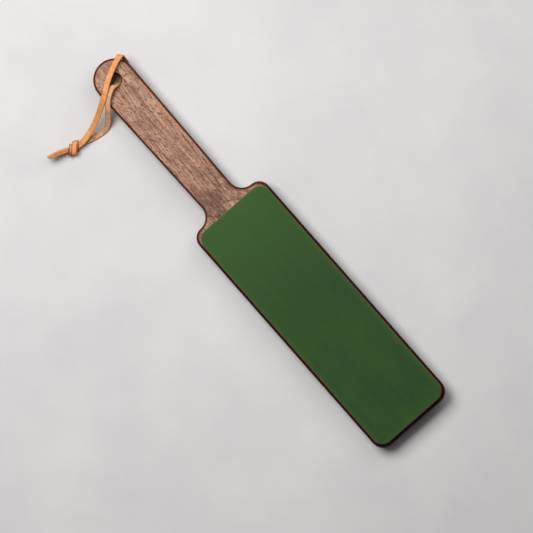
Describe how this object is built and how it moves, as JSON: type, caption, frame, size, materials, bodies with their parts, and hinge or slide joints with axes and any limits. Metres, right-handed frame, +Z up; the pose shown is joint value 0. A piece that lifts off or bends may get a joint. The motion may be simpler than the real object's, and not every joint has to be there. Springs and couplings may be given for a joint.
{
  "type": "leather strop",
  "caption": "Paddle strop: a walnut board with a straight handle, leather glued to both faces, green compound on the upper one, and a knotted leather lace through the hanging hole.",
  "frame": {"origin": "under the middle of the paddle, on the surface that its back leather rests on, measured without the lace", "axes": "+X along the paddle from the handle to the tip of the blade, +Y across it, away from the side where the lace lies, +Z up, out of the face with the compound"},
  "size_m": [0.3652, 0.1125, 0.0234],
  "materials": {
    "walnut": "oiled, fine sanded",
    "contact_glue": "thin dried film",
    "strop_leather": "natural vegetable-tanned, matte",
    "green_compound": "waxy matte",
    "lace_leather": "smooth tan grain side, suede flesh side"
  },
  "bodies": {
    "root": {"paddle_board": "walnut", "top_glue": "contact_glue", "top_leather": "strop_leather", "honing_compound": "green_compound", "back_glue": "contact_glue", "back_leather": "strop_leather", "lace_long_leg": "lace_leather", "lace_short_leg": "lace_leather", "lace_knot": "lace_leather", "lace_upper_tail": "lace_leather", "lace_lower_tail": "lace_leather"}
  },
  "joints": []
}
